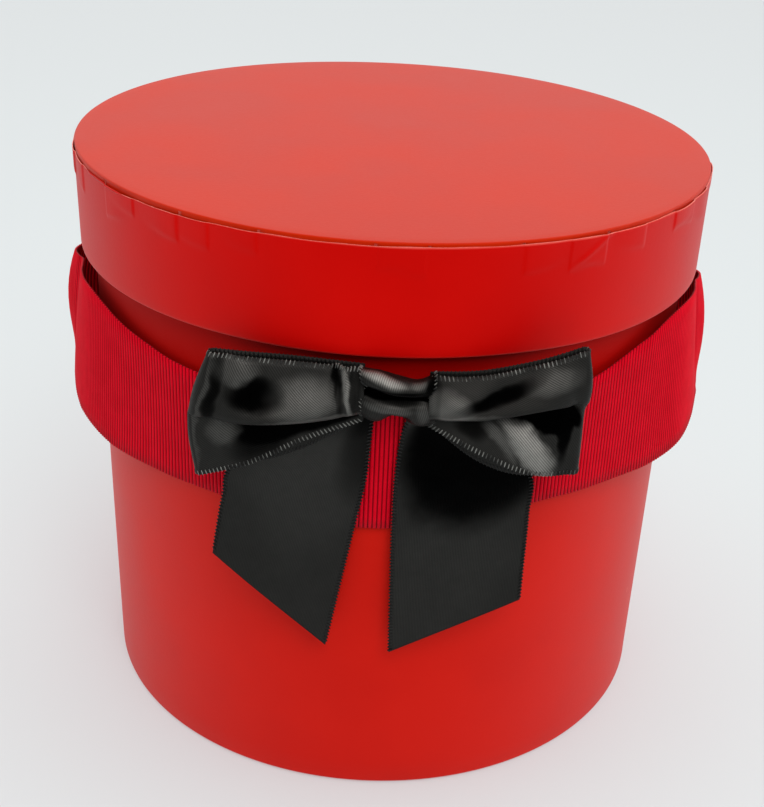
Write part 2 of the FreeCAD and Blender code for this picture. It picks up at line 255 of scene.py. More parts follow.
def lining_finish():
    """Thin white paper, a little uneven."""
    lining = Finish("white_lining_paper", Specular_IOR_Level=0.3)
    fibres = lining.noise(0.0009, 5.0)
    patches = lining.noise(0.03)
    tone = lining.blend(patches.over(0.3, 0.7), (0.76, 0.745, 0.71, 1), (0.84, 0.83, 0.80, 1))
    return lining.wire(Base_Color=tone, Roughness=0.7 + 0.15 * fibres, Normal=lining.bump(0.0001, fibres))


def refinish(material, *nodes):
    """Gives carried-over pieces a better material."""
    for node in nodes:
        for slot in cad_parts[node].material_slots:
            slot.material = material


grey_board = board_finish("grey_board", (0.30, 0.27, 0.235, 1), (0.46, 0.43, 0.385, 1), (0.40, 0.36, 0.31, 1))
stained_board = board_finish("stained_board", (0.58, 0.06, 0.045, 1), (0.72, 0.14, 0.11, 1), (0.60, 0.05, 0.04, 1))
white_lining = lining_finish()
refinish(grey_board, "body_wall_board", "base_board")
refinish(stained_board, "lid_top_board", "lid_ring_board")
refinish(white_lining, "body_lining_paper", "base_lining_paper", "lid_top_lining", "lid_ring_lining")

# ---- Body paper --------------------------------------------------------------------------------
# One sheet of red coated paper pasted round the tube: folded under the base, up the
# outside, over the rim and down inside. Its ends overlap in a seam at the back.
PAPER = 0.25 * MM
SEAM_STEP = 0.22 * MM
EDGE_ROUND = 0.8 * MM
body_low, body_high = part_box("body_wrap_paper")
slot_low, slot_high = 105.5 * MM, 143.5 * MM
slot_from, slot_to = math.radians(98.8), math.radians(101.9)


RUBBED = (0.80, 0.16, 0.13, 1)
SCUFFED = (0.80, 0.20, 0.16, 1)
# Deeper red of the body's band under the lid and behind the ribbon: painted shade
SHADED = (0.40, 0.0008, 0.0004, 1)
SHADE_FADE = 0.025


def red_paper_finish(name, base_edge, rim_edge, deep, bright, shade_from=1.0):
    """Semi-matt red paper, rubbed lighter along both edges; from a height up it is deeper, as painted shade, and
    more matt.
    """
    paper = Finish(name, Specular_IOR_Level=0.45, Specular_Tint=(1.0, 0.06, 0.03, 1))
    place = paper.place()
    height = paper.part(place, "Z")
    fibres = paper.noise(0.0011, 4.0, 0.6, place)
    clouds = paper.noise(0.035, 2.0, 0.5, place)
    specks = paper.noise(0.006, 2.0, 0.4, place)
    red = paper.blend(clouds.over(0.3, 0.7), deep, bright)
    scuffed = paper.blend(specks.over(0.80, 0.83) * 0.3, red, SCUFFED)
    # Painted shade: from shade_from up, the red turns to the deeper SHADED red
    shade_painted = paper.blend(height.over(shade_from, shade_from + SHADE_FADE), scuffed, SHADED)
    near_edge = height.over(base_edge + 0.0012, base_edge) * 0.12 + height.over(rim_edge - 0.0009, rim_edge - 0.0002)
    rubbed = paper.blend(near_edge * (0.25 + 0.75 * specks), shade_painted, RUBBED)
    gloss = 0.40 + 0.10 * clouds + 0.06 * fibres + 0.30 * height.over(shade_from, shade_from + SHADE_FADE)
    relief = paper.bump(0.00005, clouds, paper.bump(0.00003, fibres))
    return paper.wire(Base_Color=rubbed, Roughness=gloss, Normal=relief)


def raw_edge_finish():
    """Cut edge of the red paper, where its white core shows pink."""
    edge = Finish("raw_paper_edge", Specular_IOR_Level=0.2, Roughness=0.8)
    fibres = edge.noise(0.0008, 3.0)
    tone = edge.blend(fibres.over(0.3, 0.75), (0.76, 0.14, 0.11, 1), (0.86, 0.34, 0.29, 1))
    return edge.wire(Base_Color=tone, Normal=edge.bump(0.00005, fibres))


def arc(centre_r, centre_z, radius, start, end, steps=5):
    """Quarter-turn or so of a profile, angles in degrees from outwards, towards up."""
    turns = np.radians(np.linspace(start, end, steps))
    return [(centre_r + radius * math.cos(t), centre_z + radius * math.sin(t)) for t in turns]


def stretch(start, end, count):
    """Even points on a straight run of a profile, without its first point."""
    return [(start[0] + (end[0] - start[0]) * i / count, start[1] + (end[1] - start[1]) * i / count)
            for i in range(1, count + 1)]


def smooth(mesh):
    """Shades a mesh smooth."""
    for face in mesh.polygons:
        face.use_smooth = True


def paper_skin(name, body, profile, angles, lift, materials, hole=None, edge_sway=None):
    """Turned sheet of paper: a profile taken round the box, moved out by lift(angle, r, z). A hole
    leaves faces out, and edge_sway(angle) moves the profile's last point up."""
    profile = np.array(profile)
    heading = np.gradient(profile, axis=0)
    outward = np.stack([heading[:, 1], -heading[:, 0]], 1)
    outward /= np.linalg.norm(outward, axis=1)[:, None]
    mesh = bmesh.new()
    rings = []
    for angle in angles:
        ring = []
        for (r, z), (out_r, out_z) in zip(profile, outward):
            raise_by = lift(angle, r, z)
            here_r, here_z = r + out_r * raise_by, z + out_z * raise_by
            if edge_sway and z == profile[-1, 1]:
                here_z += edge_sway(angle)
            ring.append(mesh.verts.new((here_r * math.sin(angle), -here_r * math.cos(angle), here_z)))
        rings.append(ring)
    count = len(angles)
    for i in range(count):
        j = (i + 1) % count
        for k in range(len(profile) - 1):
            if hole and hole(angles[i], angles[j], profile[k], profile[k + 1]):
                continue
            mesh.faces.new((rings[i][k], rings[j][k], rings[j][k + 1], rings[i][k + 1]))
    bmesh.ops.remove_doubles(mesh, verts=mesh.verts, dist=1e-6)
    loose = [vert for vert in mesh.verts if not vert.link_faces]
    bmesh.ops.delete(mesh, geom=loose, context="VERTS")
    data = bpy.data.meshes.new(name)
    mesh.to_mesh(data)
    mesh.free()
    piece = add_object(name, data)
    for material in materials:
        data.materials.append(material)
    smooth(data)
    thicken = piece.modifiers.new("paper", "SOLIDIFY")
    thicken.thickness = PAPER
    thicken.offset = -1
    thicken.material_offset_rim = len(materials) - 1
    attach(piece, body)
    return piece


def round_angles(count, *extra):
    """Even angles from the front round the box, with a few exact ones added."""
    angles = list(np.linspace(-math.pi, math.pi, count, endpoint=False)) + list(extra)
    return sorted(angles)


def body_lift(angle, r, z):
    """Slight waviness of the tube and the step of the seam at the back."""
    wave = 0.10 * MM * math.sin(3 * angle + 0.6 + 14 * z) + 0.06 * MM * math.sin(7 * angle - 31 * z)
    at_seam = math.radians(171) < angle < math.radians(178)
    return wave * min(1, z / 0.012) + (SEAM_STEP if at_seam else 0)


def in_slot(near_angle, far_angle, near_point, far_point):
    """True inside the two handle slots."""
    angle = abs((near_angle + far_angle) / 2)
    height = (near_point[1] + far_point[1]) / 2
    return slot_from < angle < slot_to and slot_low < height < slot_high and near_point[0] > body_high.x - 1.5 * MM


raw_edge = raw_edge_finish()
body_r, rim_z = body_high.x, body_high.z
inner_r = body_r - 2.5 * MM
body_profile = stretch((body_r - 12 * MM, body_low.z + 0.01 * MM), (body_r - EDGE_ROUND, body_low.z + 0.01 * MM), 3)
body_profile += arc(body_r - EDGE_ROUND, body_low.z + EDGE_ROUND, EDGE_ROUND, -80, 0)
body_profile += stretch(body_profile[-1], (body_r, slot_low), 14)
body_profile += stretch((body_r, slot_low), (body_r, slot_high), 6)
body_profile += stretch((body_r, slot_high), (body_r, rim_z - EDGE_ROUND), 6)
body_profile += arc(body_r - EDGE_ROUND, rim_z - EDGE_ROUND, EDGE_ROUND, 15, 90)
body_profile += arc(inner_r + EDGE_ROUND, rim_z - EDGE_ROUND, EDGE_ROUND, 95, 180)
body_profile += stretch(body_profile[-1], (inner_r, rim_z - 15 * MM), 3)
seam_angles = [math.radians(a) for a in (170.7, 171.05, 177.95, 178.3)]
slot_angles = [side * a for side in (-1, 1) for a in (slot_from, slot_to)]
# The band that the lid and the ribbon shade is coloured deeper too, so it shows with the lid off
BODY_DEEP, BODY_BRIGHT = (0.62, 0.0075, 0.0030, 1), (0.66, 0.0090, 0.0036, 1)
body_paper = red_paper_finish("red_body_paper", 0.0, rim_z, BODY_DEEP, BODY_BRIGHT, shade_from=0.115)
body_wrap = paper_skin("body_wrap", "box", body_profile, round_angles(300, *seam_angles, *slot_angles),
                       body_lift, [body_paper, raw_edge], in_slot)
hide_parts("body_wrap_paper")
refinish(body_paper, "base_paper")

# ---- Lid paper -----------------------------------------------------------------------------------
# The lid's top paper is cut into tabs round its edge and folded down over the board ring.
# The skirt's strip covers the tabs, and its raw upper edge stops a millimetre or two short of the top.
lid_low, lid_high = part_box("lid_skirt_paper")
lid_r, lid_top = lid_high.x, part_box("lid_top_paper")[1].z
tab_r = lid_r - 1.2 * PAPER
TAB_DROP = 12 * MM
NOTCH_HALF = math.radians(0.22)
RAW_EDGE_DROP = 1.0 * MM
random.seed(11)
# Degrees from the front: the cuts to be seen there, and more places where a tab laps
FRONT_CUTS = (-72.0, -53.8, -34.4, -20.1, -2.3, 5.6, 20.1, 35.6, 52.5, 69.0)
BETWEEN_CUTS = (-64.0, -44.5, -28.5, 28.0, 44.5, 61.0)
tab_cuts = [math.radians(turn) for turn in FRONT_CUTS]
turn = FRONT_CUTS[-1] + 16
while turn < 360 + FRONT_CUTS[0] - 12:
    tab_cuts.append(math.radians(turn if turn < 180 else turn - 360))
    turn += random.uniform(14.5, 20.5)
# Where the tabs lap: start and width of the lap, its length down the skirt and how far it stands
# out, which is less at the very front
lap_starts = tab_cuts + [math.radians(turn) for turn in BETWEEN_CUTS]
tab_laps = [(cut, math.radians(random.uniform(7.0, 11.0)) * random.choice((-1, 1)), random.uniform(6.0, 10.5) * MM,
             random.uniform(0.30, 0.48) * MM * (0.25 + 0.75 * min(1, abs(cut) / 0.8))) for cut in lap_starts]


def nearest_cut(angle):
    """Signed distance to the nearest cut between two tabs."""
    return min((angle - cut for cut in tab_cuts), key=abs)


def top_lift(angle, r, z):
    """The lid's top is a trace uneven, and its tabs don't lie quite flat."""
    if r < 0.5 * lid_r:
        return 0.05 * MM * math.sin(2 * angle) * (r / lid_r)
    return 0.07 * MM * math.sin(2 * angle) + 0.04 * MM * math.sin(5 * angle + 1)


def in_notch(near_angle, far_angle, near_point, far_point):
    """True in the cuts between the tabs."""
    height = (near_point[1] + far_point[1]) / 2
    return height < lid_top - 1.3 * MM and abs(nearest_cut((near_angle + far_angle) / 2)) < NOTCH_HALF


TOP_ROUND = 0.55 * MM
top_profile = [(0.0, lid_top), (0.02, lid_top), (0.05, lid_top), (0.08, lid_top)]
top_profile += [(lid_r - 4 * MM, lid_top)] + arc(tab_r - TOP_ROUND, lid_top - TOP_ROUND, TOP_ROUND, 90, 0, 6)
top_profile += stretch(top_profile[-1], (tab_r, lid_top - TAB_DROP), 5)
top_profile.reverse()
cut_edges = [cut + side * NOTCH_HALF for cut in tab_cuts for side in (-1, 1)]
# The lid's paper is a warmer, more orange red than the skirt's: partly its own red, partly painted sheen of the
# light on the top
LID_DEEP, LID_BRIGHT = (0.49, 0.0155, 0.0008, 1), (0.53, 0.0185, 0.0012, 1)
SKIRT_DEEP, SKIRT_BRIGHT = (0.58, 0.0008, 0.0006, 1), (0.63, 0.0014, 0.0009, 1)
lid_paper = red_paper_finish("red_lid_paper", lid_low.z, lid_top + 1 * MM, LID_DEEP, LID_BRIGHT)
skirt_rubbed_to = lid_top - RAW_EDGE_DROP + 0.3 * MM
skirt_paper = red_paper_finish("red_skirt_paper", lid_low.z, skirt_rubbed_to, SKIRT_DEEP, SKIRT_BRIGHT)
lid_top_cover = paper_skin("lid_top_cover", "lid", top_profile, round_angles(288, *cut_edges), top_lift,
                           [lid_paper, raw_edge], in_notch)
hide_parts("lid_top_paper")

# A slanting crease: where it starts, how far it runs aside for its height, and how far it stands out
crease_angle, crease_top = math.radians(35.4), lid_top - 1.5 * MM
CREASE_SLOPE = 1.5
CREASE_STAND = 0.30 * MM


def ease(value):
    """0 below 0, 1 above 1 and smooth between."""
    value = max(0.0, min(1.0, value))
    return value * value * (3 - 2 * value)


def skirt_lift(angle, r, z):
    """The strip stands out over the lapping tabs and is creased once; it laps over itself at the back."""
    if r < lid_r - 1 * MM:
        return 0.0
    below_top = lid_top - z
    lift = 0.07 * MM * math.sin(4 * angle + 25 * z) + 0.05 * MM * math.sin(9 * angle + 2)
    for cut, width, drop, stand in tab_laps:
        into = (angle - cut) / width
        if -0.5 < into < 1.5 and below_top < drop + 2 * MM:
            sharp_edge = abs(math.radians(0.7) / width)
            foot = drop * (1 - 0.45 * into ** 2) + 1 * MM
            lift += stand * ease(into / sharp_edge) * ease((1 - into) / 0.75) * ease((foot - below_top) / (1.8 * MM))
    along = (angle - crease_angle) * lid_r - CREASE_SLOPE * (z - crease_top)
    if -9 * MM < z - crease_top < 1 * MM:
        lift += CREASE_STAND * math.exp(-((along / (1.3 * MM)) ** 2)) * ease((z - crease_top) / (4 * MM) + 2.2)
    if math.radians(158) < angle < math.radians(165):
        lift += SEAM_STEP
    return lift


def raw_edge_sway(angle):
    """The strip's cut edge wanders up and down a little, and sits lower on the left of the front."""
    wander = 0.12 * MM * math.sin(11 * angle) * math.sin(4.3 * angle + 2) + 0.07 * MM * math.sin(37 * angle)
    return wander - 0.75 * MM * math.exp(-(((angle + 0.85) / 0.45) ** 2))


raw_z = lid_top - RAW_EDGE_DROP
skirt_profile = stretch((lid_r - 2.7 * MM, lid_low.z + 15 * MM), (lid_r - 2.7 * MM, lid_low.z + EDGE_ROUND), 3)
skirt_profile += arc(lid_r - 2.7 * MM + EDGE_ROUND, lid_low.z + EDGE_ROUND, EDGE_ROUND, 190, 265)
skirt_profile += arc(lid_r - EDGE_ROUND, lid_low.z + EDGE_ROUND, EDGE_ROUND, -85, 0)
skirt_profile += stretch(skirt_profile[-1], (lid_r, lid_top - TAB_DROP - 4 * MM), 6)
skirt_profile += stretch(skirt_profile[-1], (lid_r, raw_z), 22)
fine_angles = [at + math.radians(step) for cut, width, _, _ in tab_laps for at in (cut, cut + width)
               for step in (-1.5, -1.0, -0.55, -0.28, 0, 0.28, 0.55, 1.0, 1.5)]
fine_angles += [math.radians(a) for a in (157.8, 158.1, 164.9, 165.2)]
fine_angles += [crease_angle + math.radians(step) for step in np.arange(-9.0, 1.5, 0.35)]
lid_skirt = paper_skin("lid_skirt", "lid", skirt_profile, round_angles(300, *fine_angles), skirt_lift,
                       [skirt_paper, raw_edge], edge_sway=raw_edge_sway)
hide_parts("lid_skirt_paper")

# ---- Handle ribbon ------------------------------------------------------------------------------------
# One length of crimson grosgrain, 38 mm wide, with cross ribs a little over a millimetre apart. It hangs
# slack round the front, flares off the box at the sides and tucks in through the two slots.
RIB_PITCH = 1.28 * MM
RIB_DEPTH = 0.19 * MM
RIBBON_WIDE = 38 * MM
RIBBON_THICK = 0.5 * MM


def spline(before, here, there, after, t):
    """Smooth run from here to there, through the points before and after them."""
    return 0.5 * (2 * here + (there - before) * t + (2 * before - 5 * here + 4 * there - after) * t ** 2
                  + (3 * here - before - 3 * there + after) * t ** 3)


def run_along(points):
    """Distances along a line of points, from its first."""
    return np.concatenate([[0], np.cumsum(np.linalg.norm(np.diff(points, axis=0), axis=1))])


def smooth_line(points, spacing):
    """Even points along the smooth curve through some points, and their distances along it."""
    points = np.array(points, float)
    ends = np.vstack([2 * points[0] - points[1], points, 2 * points[-1] - points[-2]])
    fine = []
    for before, here, there, after in zip(ends, ends[1:], ends[2:], ends[3:]):
        for t in np.linspace(0, 1, 24, endpoint=False):
            fine.append(spline(before, here, there, after, t))
    fine = np.array(fine + [points[-1]])
    run = run_along(fine[:, :3])
    along = np.arange(0, run[-1], spacing)
    return np.stack([np.interp(along, run, fine[:, i]) for i in range(fine.shape[1])], 1), along


def cloth_mesh(name, grid, lengths, widths, material, thick):
    """Sheet from a grid of points. Map "cloth" holds its length and width in metres, for the
    weave, and map "fold" its shares from first to last row and column, for the painted highlights and shade of the
    folds."""
    rows, columns = len(grid), len(grid[0])
    data = bpy.data.meshes.new(name)
    faces = [(r * columns + c, r * columns + c + 1, (r + 1) * columns + c + 1, (r + 1) * columns + c)
             for r in range(rows - 1) for c in range(columns - 1)]
    data.from_pydata([tuple(point) for row in grid for point in row], [], faces)
    cloth = data.uv_layers.new(name="cloth")
    flat = np.array([(lengths[r], widths[c]) for r in range(rows) for c in range(columns)])
    corners = np.array([loop.vertex_index for loop in data.loops])
    cloth.data.foreach_set("uv", flat[corners].astype(np.float32).ravel())
    fold = data.uv_layers.new(name="fold")
    shares = np.array([(r / (rows - 1), c / (columns - 1)) for r in range(rows) for c in range(columns)])
    fold.data.foreach_set("uv", shares[corners].astype(np.float32).ravel())
    data.materials.append(material)
    piece = add_object(name, data)
    thicken = piece.modifiers.new("cloth", "SOLIDIFY")
    thicken.thickness = thick
    thicken.offset = 0
    bpy.context.view_layer.update()
    ready = bpy.data.meshes.new_from_object(piece.evaluated_get(bpy.context.evaluated_depsgraph_get()))
    piece.modifiers.clear()
    piece.data = ready
    ready.name = name
    smooth(ready)
    return piece


def grosgrain_finish():
    """Crimson ribbed ribbon: bright rib crowns, furrows darkened with painted shade, and a matt thread grain."""
    ribbon = Finish("crimson_grosgrain", Specular_IOR_Level=0.25, Specular_Tint=(1.0, 0.05, 0.1, 1),
                    Sheen_Weight=0.07, Sheen_Roughness=0.4, Sheen_Tint=(1.0, 0.3, 0.35, 1))
    cloth = ribbon.node("ShaderNodeUVMap", {"uv_map": "cloth"})
    along, across = ribbon.part(cloth, "X"), ribbon.part(cloth, "Y")
    furrow = along.wave(RIB_PITCH)
    threads = across.wave(0.33 * MM)
    uneven = ribbon.noise(0.006, 3.0)
    fuzz = ribbon.noise(0.0005, 2.0)
    crown = ribbon.blend(uneven.over(0.2, 0.8), (0.65, 0.0010, 0.0120, 1), (0.75, 0.0022, 0.017, 1))
    # The furrows between the ribs are coloured far darker than the crowns: painted shade
    tone = ribbon.blend(furrow.over(0.0, 0.8), (0.17, 0.0001, 0.003, 1), crown)
    relief = ribbon.bump(0.00008, furrow * 0.6 + threads * 0.25 + fuzz * 0.4)
    return ribbon.wire(Base_Color=tone, Roughness=0.62 + 0.15 * fuzz, Normal=relief)


# (angle from the front, top edge's radius and height, middle's radius, bottom edge's radius and
# height): degrees and millimetres, from the front to where the ribbon turns in to its slot
RIGHT_ROUTE = [
    (0, 96.4, 136.5, 96.4, 96.4, 98.0), (14, 96.5, 136.8, 96.5, 96.5, 100.3),
    (27, 96.8, 137.6, 96.7, 96.7, 102.6), (38, 97.2, 139.6, 97.2, 97.6, 102.6),
    (50, 98.0, 145.2, 98.6, 99.4, 101.8), (58, 99.0, 148.6, 100.0, 101.8, 101.4),
    (66, 99.8, 149.6, 101.8, 103.8, 101.8), (74, 100.0, 147.8, 102.4, 105.0, 103.6),
    (81, 100.0, 145.6, 102.0, 105.6, 106.0), (83.5, 100.4, 145.0, 102.2, 105.8, 106.8),
    (86, 102.0, 144.4, 104.2, 106.4, 107.4), (90, 103.4, 143.4, 107.2, 107.0, 108.0),
    (94, 102.4, 142.4, 106.0, 106.0, 108.0), (97.5, 99.6, 142.0, 102.5, 102.5, 107.5),
]
LEFT_ROUTE = [
    (14, 96.5, 136.5, 96.5, 96.5, 98.8), (27, 96.7, 136.8, 96.7, 96.7, 100.0),
    (38, 97.0, 138.0, 97.0, 97.5, 100.2), (50, 97.6, 141.0, 98.0, 99.4, 99.8),
    (58, 98.4, 143.4, 99.6, 101.2, 99.6), (66, 99.4, 144.8, 101.2, 102.8, 100.2),
    (74, 99.8, 144.2, 102.2, 104.0, 101.8), (80, 99.4, 143.0, 102.2, 104.4, 104.0),
    (83.5, 99.6, 142.4, 102.2, 104.4, 105.4), (86, 101.6, 141.9, 104.2, 104.6, 106.2),
    (90, 103.8, 141.2, 107.2, 104.8, 107.0), (94, 103.0, 140.7, 106.4, 103.8, 107.0),
    (97.5, 98.8, 140.5, 101.8, 101.0, 107.0),
]


# Radius inside the wall, in millimetres, at which the ribbon's ends lie
TUCKED_R = 91.5


def ribbon_rows(side, route):
    """Top, middle and bottom of the ribbon as nine-number rows, front to tucked-in end."""
    rows = []
    for angle, top_r, top_z, middle_r, bottom_r, bottom_z in route:
        turn = side * math.radians(angle)
        middle_z = 0.5 * (top_z + bottom_z)
        rows.append([value * MM for r, z in ((middle_r, middle_z), (top_r, top_z), (bottom_r, bottom_z))
                     for value in (r * math.sin(turn), -r * math.cos(turn), z)])
    foot, head = slot_low / MM + 1.0, slot_high / MM - 1.0
    tucked = [(95.5, 17.0), (92.6, 17.3), (90.3, 18.6)]
    tucked += [(TUCKED_R * math.cos(math.radians(a)), TUCKED_R * math.sin(math.radians(a)))
               for a in (14.5, 20, 26, 31)]
    for x, y in tucked:
        rows.append([value * MM for z in ((foot + head) / 2, head, foot) for value in (side * x, y, z)])
    return rows


ribbon_route = ribbon_rows(-1, LEFT_ROUTE)[::-1] + ribbon_rows(1, RIGHT_ROUTE)
ribbon_line, ribbon_along = smooth_line(ribbon_route, RIB_PITCH / 4)
ribbon_shares = np.linspace(-1, 1, 11)


def ribbon_point(line, share):
    """Place across the ribbon, -1 at its bottom edge, through its bellied middle to 1 at its top edge."""
    middle, top, bottom = line[:3], line[3:6], line[6:9]
    straight = 0.5 * (1 + share) * top + 0.5 * (1 - share) * bottom
    return straight + (1 - share ** 2) * (middle - 0.5 * (top + bottom))


ribbon_grid = np.array([[ribbon_point(line, share) for share in ribbon_shares] for line in ribbon_line])
ribbon_off = np.cross(np.gradient(ribbon_grid, axis=0), np.gradient(ribbon_grid, axis=1))
ribbon_off /= np.linalg.norm(ribbon_off, axis=2)[:, :, None]
rib_wave = RIB_DEPTH * np.sin(2 * math.pi * ribbon_along / RIB_PITCH)
slack_wave = 0.35 * MM * np.sin(ribbon_along / (21 * MM)) * np.sin(ribbon_along / (8.3 * MM) + 1)
edge_share = ribbon_shares[None, :, None] ** 2
ribbon_grid += ribbon_off * (rib_wave[:, None, None] - np.abs(slack_wave)[:, None, None] * edge_share)
handle_ribbon = cloth_mesh("handle_ribbon", ribbon_grid, ribbon_along, ribbon_shares * RIBBON_WIDE / 2,
                           grosgrain_finish(), RIBBON_THICK)
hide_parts("handle_band", "handle_side_left", "handle_side_right")
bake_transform(handle_ribbon)

# ---- Bow -------------------------------------------------------------------------------------------------
# Black satin ribbon, 38 mm wide with overlocked edges, folded into two flat loops. A pleat runs
# out of the knot along each loop, so that its upper half overhangs a fold in shade, which the satin's colour also
# paints dark.
SATIN_THICK = 0.35 * MM
STITCH_PITCH = 1.1 * MM


def in_patch(patch, u, v):
    """Squared distance from the middle of a slanting oval patch, 1 at its rim. Works on plain
    numbers and on shader sockets."""
    mid_u, mid_v, long_half, short_half, turn, _ = patch
    c, s = math.cos(math.radians(turn)), math.sin(math.radians(turn))
    along = ((u - mid_u) * c + (v - mid_v) * s) * (1 / long_half)
    aside = ((v - mid_v) * c - (u - mid_u) * s) * (1 / short_half)
    return along * along + aside * aside


SATIN_DARK, SATIN_LIGHT = (0.0006, 0.0006, 0.0006, 1), (0.44, 0.425, 0.40, 1)
SATIN_GLOSS = 0.030


def satin_finish(name, painted_gloss, slant=0.75, weave=0.62 * MM, roughness=0.45):
    """Black satin: fine float lines in a broad soft gloss, with painted highlights and painted shade that come and
    go along the folds.
    """
    satin = Finish(name, Metallic=1.0)
    cloth = satin.node("ShaderNodeUVMap", {"uv_map": "cloth"})
    along, across = satin.part(cloth, "X"), satin.part(cloth, "Y")
    fold = satin.node("ShaderNodeUVMap", {"uv_map": "fold"})
    u, v = satin.part(fold, "X"), satin.part(fold, "Y")
    slubs = satin.noise(0.0022, 3.0)
    sag = satin.noise(0.011, 2.0)
    light = SATIN_GLOSS * (0.8 + 0.4 * sag)
    ragged = satin.noise(0.008, 2.0) - 0.5
    u, v = u + 0.05 * ragged, v - 0.10 * ragged
    # Each oval adds to the reflectance or takes from it: painted highlight where its last number is above nought,
    # painted shade where it is below
    for patch in painted_gloss:
        light = light + in_patch(patch, u, v).over(1.9, 0.0) * patch[-1]
    floats = (along * slant + across).wave(weave)
    picks = (across - slant * along).wave(0.3 * MM)
    light = light * (0.55 + 0.6 * floats + 0.3 * slubs)
    tone = satin.blend(light.over(-0.04, 0.44), SATIN_DARK, SATIN_LIGHT)
    fine = satin.bump(0.00005, floats * 0.7 + picks * 0.3)
    relief = satin.bump(0.0004, sag, fine)
    return satin.wire(Base_Color=tone, Roughness=roughness + 0.10 * floats + 0.08 * slubs, Normal=relief)


def overlock_finish(name, dark, light):
    """Matt thread of the overlocked edges."""
    thread = Finish(name, Specular_IOR_Level=0.3, Roughness=0.6)
    fuzz = thread.noise(0.0004, 2.0)
    worn = thread.noise(0.0045, 4.0)
    tone = thread.blend(worn.over(0.40, 0.62), (dark, dark, 0.97 * dark, 1), (light, light, 0.93 * light, 1))
    return thread.wire(Base_Color=tone, Normal=thread.bump(0.00005, fuzz))


# One thread in two copies, differing only in colour: grey on the loops' fronts and the knot, and a near-black copy
# on the loops' back plies, where it is painted shade, and on the tails
grey_thread = overlock_finish("overlock_thread", 0.012, 0.20)
dark_thread_copy = overlock_finish("dark_overlock_thread_copy", 0.002, 0.008)


def overlock(name, edges, thread, reach=1.3 * MM, gauge=0.36 * MM, beyond=0.15, pitch=STITCH_PITCH):
    """Slanting stitches over ribbon edges: each edge is its points, and the points just inside it.
    Beyond is how much of a stitch's reach shows outside the edge."""
    mesh = bmesh.new()
    for edge, inside in edges:
        edge, inside = np.array(edge), np.array(inside)
        run = run_along(edge)
        for at in np.arange(pitch / 2, run[-1] - pitch / 2, pitch):
            on_edge = np.array([np.interp(at, run, edge[:, i]) for i in range(3)])
            inner = np.array([np.interp(at + 0.7 * pitch, run, inside[:, i]) for i in range(3)])
            step = np.array([np.interp(at + 0.2 * pitch, run, edge[:, i]) for i in range(3)]) - on_edge
            inward = inner - on_edge
            inward *= reach / max(np.linalg.norm(inward), 1e-9)
            off = np.cross(step, inward)
            off /= max(np.linalg.norm(off), 1e-12)
            for face in (-1, 1):
                ring_before = None
                for share, swell in ((-beyond, 0.5), (0.1, 1.0), (0.55, 1.1), (0.9, 0.8), (1.0, 0.3)):
                    centre = on_edge + inward * share + off * face * (0.5 * SATIN_THICK)
                    wide = np.cross(inward, off)
                    wide *= 0.5 * gauge * swell / max(np.linalg.norm(wide), 1e-12)
                    high = off * 0.5 * gauge * swell
                    ring = [mesh.verts.new(tuple(centre + wide * math.cos(t) + high * math.sin(t)))
                            for t in np.linspace(0, 2 * math.pi, 5, endpoint=False)]
                    if ring_before:
                        for i in range(5):
                            j = (i + 1) % 5
                            mesh.faces.new((ring_before[i], ring_before[j], ring[j], ring[i]))
                    else:
                        mesh.faces.new(ring[::-1])
                    ring_before = ring
                mesh.faces.new(ring_before)
    bmesh.ops.recalc_face_normals(mesh, faces=mesh.faces)
    data = bpy.data.meshes.new(name)
    mesh.to_mesh(data)
    mesh.free()
    data.materials.append(thread)
    smooth(data)
    piece = add_object(name, data)
    return piece


def through(stations, share):
    """Value at a share from 0 to 1 of a smooth run through evenly spaced stations."""
    stations = np.array(stations, float)
    ends = np.vstack([2 * stations[:1] - stations[1:2], stations, 2 * stations[-1:] - stations[-2:-1]])
    at = min(max(share, 0.0), 1.0) * (len(stations) - 1)
    index = min(int(at), len(stations) - 2)
    return spline(*ends[index:index + 4], at - index)


# Millimetres: where the back of the bow stands, and how much higher a loop's back ply sits
LOOP_BACK_Y = -99.5
BACK_PLY_UP = 0.2
FRONT_ROWS, FOLD_ROWS, BACK_ROWS = 34, 10, 22
# Share of the way out at which a loop turns into its fold
FOLD_FROM = 0.97
# Stations out from the middle of the bow, in millimetres: heights of the loop's top edge, of
# its pleat and of its bottom edge, and how far forward its belly, its pleat, the hollow under
# the pleat and its bottom edge stand; and how much lower the back ply hangs.
LOOP_STATIONS = {
    -1: {"top": [150.9, 152.0, 152.7, 153.6], "pleat": [138.6, 136.8, 135.8, 136.0],
         "bottom": [134.9, 128.8, 121.4, 116.6], "belly": [5.6, 6.2, 7.0, 4.8], "overhang": [4.6, 7.6, 8.2, 4.4],
         "hollow": [1.4, 1.2, 1.6, 3.6], "lip": [1.4, 2.0, 3.6, 3.2], "behind": [0.0, 3.4, 1.8, 0.2]},
    1: {"top": [149.4, 150.4, 153.8, 159.2], "pleat": [137.4, 139.4, 142.8, 144.4],
        "bottom": [134.3, 127.9, 123.4, 122.6], "belly": [5.6, 6.4, 6.6, 4.6], "overhang": [5.0, 7.4, 8.0, 4.0],
        "hollow": [1.6, 1.2, 1.0, 3.2], "lip": [1.8, 4.2, 6.4, 4.2], "behind": [0.0, 4.4, 4.2, 0.2]},
}
